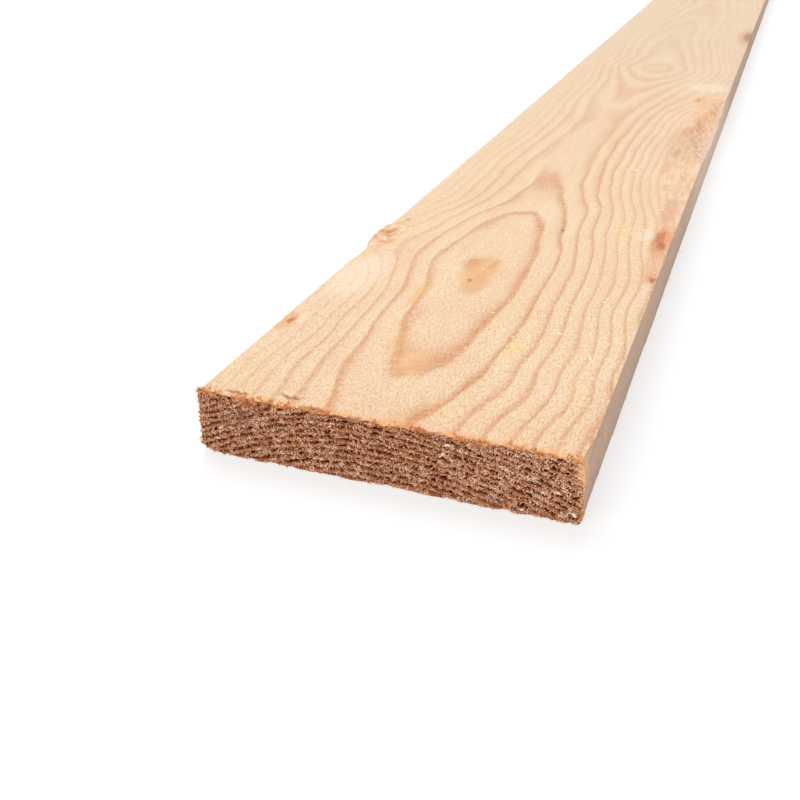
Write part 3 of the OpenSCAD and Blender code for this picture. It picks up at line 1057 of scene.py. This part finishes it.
def spikes(tree, sizes):
    """The spikes that a fibre can be, as instances to pick from."""
    place = add(tree, "GeometryNodeInputPosition")
    rise = add(tree, "ShaderNodeSeparateXYZ", {0: place}, out="Z")
    share = add(tree, "ShaderNodeMath", {0: rise, 1: sizes["Length"]}, operation="DIVIDE")
    bow = add(tree, "ShaderNodeMath", {0: share, 1: rise}, operation="MULTIPLY")
    bow = add(tree, "ShaderNodeMath", {0: bow, 1: sizes["Curl"]}, operation="MULTIPLY")
    tip_width = add(tree, "ShaderNodeMath", {0: sizes["Width"], 1: TIP_SHARE}, operation="MULTIPLY")
    spike = add(tree, "GeometryNodeMeshCone", {
        "Vertices": 3, "Side Segments": 2, "Radius Top": tip_width, "Radius Bottom": sizes["Width"],
        "Depth": sizes["Length"]}, fill_type="NGON")
    made = []
    for bend in BENDS:
        sideways = add(tree, "ShaderNodeMath", {0: bow, 1: bend}, operation="MULTIPLY")
        lower = add(tree, "ShaderNodeMath", {0: sideways, 1: -SINK_SHARE * bend}, operation="MULTIPLY")
        shift = add(tree, "ShaderNodeCombineXYZ", {"X": sideways, "Z": lower})
        bent = add(tree, "GeometryNodeSetPosition", {"Geometry": spike, "Offset": shift})
        made.append(add(tree, "GeometryNodeGeometryToInstance", {"Geometry": bent}))
    return add(tree, "GeometryNodeJoinGeometry", {"Geometry": made})


def fibre_scatter():
    """Scatters fibres that stand out of the skin, follow a pull and stray from it."""
    tree, sizes = new_scatter("fibre_scatter", {
        "Where": "String", "Density": "Float", "Length": "Float", "Width": "Float", "Curl": "Float",
        "Stand": "Float", "Pull": "Vector", "Stray": "Vector", "Seed": "Int", "Material": "Material"})
    spread_out = points_on_skin(tree, sizes)
    shapes = spikes(tree, sizes)
    out_of_wood = add(tree, "ShaderNodeVectorMath", {
        0: spread_out.outputs["Normal"], "Scale": sizes["Stand"]}, operation="SCALE")
    stray = add(tree, "FunctionNodeRandomValue", {0: (-1, -1, -1), 1: (1, 1, 1), "Seed": 1},
                data_type="FLOAT_VECTOR")
    stray = add(tree, "ShaderNodeVectorMath", {0: stray, 1: sizes["Stray"]}, operation="MULTIPLY")
    aim = add(tree, "ShaderNodeVectorMath", {0: out_of_wood, 1: sizes["Pull"]}, operation="ADD")
    aim = add(tree, "ShaderNodeVectorMath", {0: aim, 1: stray}, operation="ADD")
    pointed = add(tree, "FunctionNodeAlignRotationToVector", {"Vector": aim}, axis="Z")
    turn = add(tree, "FunctionNodeRandomValue", {0: (0, 0, -math.pi), 1: (0, 0, math.pi), "Seed": 2},
               data_type="FLOAT_VECTOR")
    turn = add(tree, "FunctionNodeEulerToRotation", {0: turn})
    rotation = add(tree, "FunctionNodeRotateRotation", {"Rotation": pointed, "Rotate By": turn},
                   rotation_space="LOCAL")
    scale = add(tree, "FunctionNodeRandomValue", {2: SMALLEST, 3: LARGEST, "Seed": 4}, out=1,
                data_type="FLOAT")
    weight = add(tree, "GeometryNodeInputNamedAttribute", {"Name": sizes["Where"]}, data_type="FLOAT")
    palest = add(tree, "ShaderNodeMapRange", {0: weight, 3: SHADED_THIN_TONE, 4: 1.0})
    grow(tree, sizes, shapes, rotation, scale, spread_out, palest)
    return tree


FIBRES = fibre_scatter()
print(f"{FIBRES.name}: {len(FIBRES.nodes)} nodes, {len(BENDS)} spikes to pick from")

# %% [markdown]
# ## Chips
# Sawdust and flakes are small lumps. Each is a coarse ball whose points are pressed flat and jolted by
# chance, laid on the skin and turned any way round.

# %% Chip scatter
# The least and the most that a point of the ball is drawn out, across and up
JOLT_LEAST, JOLT_MOST = (0.9, 0.25, 0.15), (1.5, 0.6, 0.3)
# How far a chip tips out of the skin's plane, in radians
TIPPED = 0.5
CHIP_SMALLEST, CHIP_LARGEST = 0.4, 1.3


def chip_scatter():
    """Scatters flat chips that lie on the skin."""
    tree, sizes = new_scatter("chip_scatter", {
        "Where": "String", "Density": "Float", "Size": "Float", "Seed": "Int", "Material": "Material"})
    spread_out = points_on_skin(tree, sizes)
    lump = add(tree, "GeometryNodeMeshIcoSphere", {"Radius": sizes["Size"], "Subdivisions": 1})
    jolt = add(tree, "FunctionNodeRandomValue", {0: JOLT_LEAST, 1: JOLT_MOST, "Seed": 3},
               data_type="FLOAT_VECTOR")
    place = add(tree, "GeometryNodeInputPosition")
    flat = add(tree, "ShaderNodeVectorMath", {0: place, 1: jolt}, operation="MULTIPLY")
    chip = add(tree, "GeometryNodeSetPosition", {"Geometry": lump, "Position": flat})
    chip = add(tree, "GeometryNodeGeometryToInstance", {"Geometry": chip})
    turn = add(tree, "FunctionNodeRandomValue", {
        0: (-TIPPED, -TIPPED, -math.pi), 1: (TIPPED, TIPPED, math.pi), "Seed": sizes["Seed"]},
        data_type="FLOAT_VECTOR")
    turn = add(tree, "FunctionNodeEulerToRotation", {0: turn})
    rotation = add(tree, "FunctionNodeRotateRotation", {
        "Rotation": spread_out.outputs["Rotation"], "Rotate By": turn}, rotation_space="LOCAL")
    scale = add(tree, "FunctionNodeRandomValue", {2: CHIP_SMALLEST, 3: CHIP_LARGEST, "Seed": sizes["Seed"]},
                out=1, data_type="FLOAT")
    grow(tree, sizes, chip, rotation, scale, spread_out, 1.0)
    return tree


CHIPS = chip_scatter()
print(f"{CHIPS.name}: {len(CHIPS.nodes)} nodes")

# %% [markdown]
# ## Finish of the fibres
# A fibre is bare wood, matt, and each is of its own tone from dark to pale, a little paler to the right as
# in the photo. The felt is tan, the fringe is painted orange as a painted glow of light through it, loose
# fibres are pale and dry, and sawdust is yellow.

# %% Fibre and sawdust materials
TONE_STREAK, TONE_SPREAD = (0.25, 0.25, 0.25), 0.2
# Fibres are paler by this much of a tone to the right, in full from the second of these places
PALER, PALER_FROM, PALER_TO = 0.16, 5, 50


def fibre_material(name, dark, middle, pale):
    """Bare wood fibre, from its darkest tone to its palest."""
    made, tree, surface = new_material(name)
    mm = in_mm(tree)
    tone = add(tree, "ShaderNodeAttribute", out="Fac", attribute_name="tone")
    streak = grain_noise(tree, mm, TONE_STREAK)
    streak = add(tree, "ShaderNodeMapRange", {0: streak, 3: -TONE_SPREAD, 4: TONE_SPREAD})
    x = add(tree, "ShaderNodeSeparateXYZ", {0: mm}, out="X")
    paler = add(tree, "ShaderNodeMapRange", {0: x, 1: PALER_FROM, 2: PALER_TO, 3: 0.0, 4: PALER})
    for change in (streak, paler):
        tone = add(tree, "ShaderNodeMath", {0: tone, 1: change}, operation="ADD")
    shade = add(tree, "ShaderNodeValToRGB", {0: tone}, stops=[(0.0, dark), (0.5, middle), (1.0, pale)])
    surface.inputs["Roughness"].default_value = 0.8
    surface.inputs["Specular IOR Level"].default_value = 0.0
    tree.links.new(shade, surface.inputs["Base Color"])
    return made


felt = fibre_material("end_grain_felt", "B46E46", "FFC9A1", "FFE6CE")
# The fringe's orange is a painted glow
fringe = fibre_material("fringe_painted_glow", "E08C4E", "FAB478", "FFDCAA")
pale_fibre = fibre_material("pale_loose_fibre", "DDAA80", "EFC8A2", "FBE3C8")
sawdust = fibre_material("yellow_sawdust", "F6D074", "FBE298", "FFF5DA")
print("materials:", felt.name, fringe.name, pale_fibre.name, sawdust.name)

# %% [markdown]
# ## Where the fibres grow
# The felt grows in the early wood and leaves the grooves and the splintered corner bare. The fringe grows in
# clumps along the outermost row of each end, thickest at the top. Strays hang where the photo shows them,
# loose fibres lie along the long edges, and sawdust lies thickest on the right of the near end.

# %% Weigh each point of the skin
# Share of the fringe on the sides and under, next to the top's, and on the face close to the top
RIM_SHARE, FACE_SHARE = 0.06, 0.12
TUFTED_LEAST, GROOVE_FELT = 0.2, 0.01
EDGE_REACH = 1.6
# Spots with more of a kind than elsewhere: strays and flakes across and up the near end, and sawdust
# across and along the top
Spot = namedtuple("Spot", "amount x y half_x half_y")
STRAY_SPOTS = [Spot(14, 30, TOP - 1, 4, 2.5), Spot(6, -44, 16, 3, 2), Spot(8, 60, TOP - 3, 2.5, 4)]
FLAKE_SPOTS = [Spot(2, 54, 8, 6, 3), Spot(1, -20, 3, 8, 2)]
DUST_SPOTS = [Spot(1, 30, 88, 26, 44), Spot(2, 41, 206, 5, 9)]
# What lies all over: strays and flakes on both ends, and sawdust that thins out between two distances
STRAYS, FLAKES, DUST, DUST_THINS, DUST_OVER = 0.35, 0.15, 0.012, 160, 400


def heaped(y, spots, all_over=0):
    """How much of a kind lies at each point: what is all over, and more in the spots."""
    return sum((s.amount * patch(across, y, s.x, s.y, s.half_x, s.half_y) for s in spots), all_over)


on_rim = np.zeros(len(sawn))
for cap in (near_cap, far_cap):
    on_rim[np.concatenate([cap[0], cap[-1], cap[:, 0]])] = RIM_SHARE
    on_rim[cap[:, -1]] = 1.0
tufted = TUFTED_LEAST + (1 - TUFTED_LEAST) * ramp_up(roughness(sawn, (2.0, 2.0, 1.3), 22), -0.5, 0.5)
early_wood = GROOVE_FELT + (1 - GROOVE_FELT) * tufted * (1 - late_wood) ** 2
splintered = ramp_up(patch(across, up, RIGHT, TOP - 3, 3.2, 6.5), 0.3, 0.6)
by_side = np.abs(across) > RIGHT - EDGE_REACH
by_face = (up > TOP - EDGE_REACH) | (up < UNDER + EDGE_REACH)
on_top = (up > TOP - 0.4) & ~on_end
clumps = ramp_up(roughness(sawn, (3.5, 20, 20), 19), -0.5, 0.6)
thin_dust = DUST * (1 - ramp_up(from_near, DUST_THINS, DUST_OVER))
WEIGHTS = {
    "near_felt": on_near * early_wood * (1 - splintered),
    "far_felt": on_far * early_wood,
    "rim": clumps * (on_rim + FACE_SHARE * on_top * (1 - ramp_up(end_distance, 0.5, 3.0))),
    "stray": on_end * STRAYS + on_near * heaped(up, STRAY_SPOTS),
    "edge": (by_side & by_face).astype(float) * ~on_end,
    "dust": on_top * heaped(from_near, DUST_SPOTS, thin_dust),
    "flake": on_end * FLAKES + on_near * heaped(up, FLAKE_SPOTS),
}
for name, weight in WEIGHTS.items():
    keep(name, weight)
print("weights on the skin:", *WEIGHTS)

# %% Grow the fibres
FELT = dict(Density=7.2e6, Length=0.75 * MM, Width=0.27 * MM, Curl=1.0, Stand=0.7, Pull=(0, 0, 0.15),
            Stray=(1.0, 0.8, 0.4), Material=felt)
FIBRE_KINDS = {
    "near_felt": dict(Where="near_felt", Seed=21, **FELT),
    "far_felt": dict(Where="far_felt", Seed=25, **FELT),
    "end_fringe": dict(Where="rim", Density=18e6, Length=1.3 * MM, Width=0.23 * MM, Curl=1.1, Stand=0.6,
                       Pull=(0, 0, -0.2), Stray=(1, 1, 0.8), Seed=22, Material=fringe),
    "stray_fibres": dict(Where="stray", Density=0.02e6, Length=4.6 * MM, Width=0.11 * MM, Curl=0.5,
                         Stand=0.45, Pull=(0, 0, -0.25), Stray=(0.9, 0.9, 0.9), Seed=23,
                         Material=pale_fibre),
    "edge_fibres": dict(Where="edge", Density=0.06e6, Length=3.2 * MM, Width=0.09 * MM, Curl=0.5,
                        Stand=0.35, Pull=(0, -0.8, 0), Stray=(0.5, 0.5, 0.5), Seed=24, Material=pale_fibre),
}
CHIP_KINDS = {
    "sawdust": dict(Where="dust", Density=0.04e6, Size=1.1 * MM, Seed=31, Material=sawdust),
    "end_flakes": dict(Where="flake", Density=0.03e6, Size=1.2 * MM, Seed=32, Material=felt),
}


def scatter(name, tree, sizes):
    """Runs a scatter tree over the skin and keeps what grew as a plain mesh, all above the ground."""
    bench = bpy.data.objects.new("bench", board_mesh)
    bpy.context.collection.objects.link(bench)
    modifier = bench.modifiers.new(name, "NODES")
    modifier.node_group = tree
    sockets = {item.name: item.identifier for item in tree.interface.items_tree if item.in_out == "INPUT"}
    for label, value in sizes.items():
        modifier[sockets[label]] = value
    grown = bpy.data.meshes.new_from_object(bench.evaluated_get(bpy.context.evaluated_depsgraph_get()))
    bpy.data.objects.remove(bench)
    for spare in (*FINISH_NUMBERS, *WEIGHTS):
        if spare in grown.attributes:
            grown.attributes.remove(grown.attributes[spare])
    places = np.empty(len(grown.vertices) * 3, np.float32)
    grown.vertices.foreach_get("co", places)
    places[2::3] = np.maximum(places[2::3], UNDER * MM)
    grown.vertices.foreach_set("co", places)
    piece = bpy.data.objects.new(name, grown)
    bpy.context.collection.objects.link(piece)
    return piece


pieces = [scatter(name, FIBRES, sizes) for name, sizes in FIBRE_KINDS.items()]
pieces += [scatter(name, CHIPS, sizes) for name, sizes in CHIP_KINDS.items()]
for name in WEIGHTS:
    board_mesh.attributes.remove(board_mesh.attributes[name])
for piece in pieces:
    print(f"{piece.name}: {sum(len(p.vertices) - 2 for p in piece.data.polygons)} triangles")

# %% [markdown]
# ## Hand the pieces to the frame
# The skin stands for the imported plank, so the solid is hidden and the skin rides on its body. The fibres
# ride with it. The torn knot and loose fibres stand out of the solid by a few millimetres.

# %% Ride, replace and finish
for piece in [board, *pieces]:
    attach(piece, "root")
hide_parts("plank")
